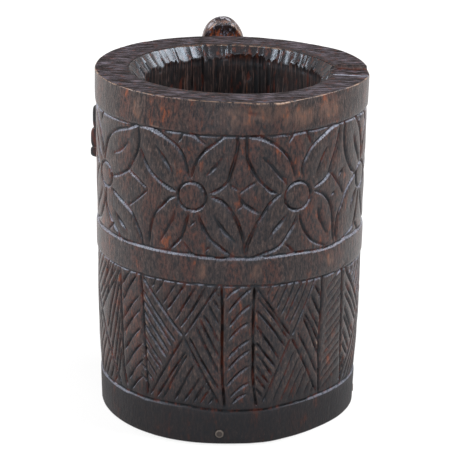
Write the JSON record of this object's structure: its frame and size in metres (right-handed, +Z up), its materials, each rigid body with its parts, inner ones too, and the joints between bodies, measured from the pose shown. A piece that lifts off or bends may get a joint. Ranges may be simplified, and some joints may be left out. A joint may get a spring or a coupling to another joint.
{
  "type": "carved wooden pot",
  "caption": "Drum-shaped wooden pot hollowed from a log, with a thick flat rim, pouring channel, loop handle, side lug, carved flower and hatch panels and a pegged base board.",
  "frame": {"origin": "on the pot's axis, on the flat that it stands on", "axes": "+Z up along the axis, -Y the carved front that the picture shows, +X the side with the pouring channel, +Y the side with the handle"},
  "size_m": [0.2571, 0.3039, 0.3297],
  "materials": {
    "carved_log": "near-black stained hardwood, oiled and rubbed to a low sheen by handling, reddish brown where it is worn",
    "base_board": "dark dull wood, gouge marks above and worn flat below",
    "peg_wood": "end grain of a hardwood peg, greyed and a little lighter than the wall"
  },
  "bodies": {
    "root": {"pot_body": "carved_log", "base_disc": "base_board", "base_peg_front": "peg_wood", "base_peg_right": "peg_wood", "base_peg_back": "peg_wood", "base_peg_left": "peg_wood"}
  },
  "joints": []
}
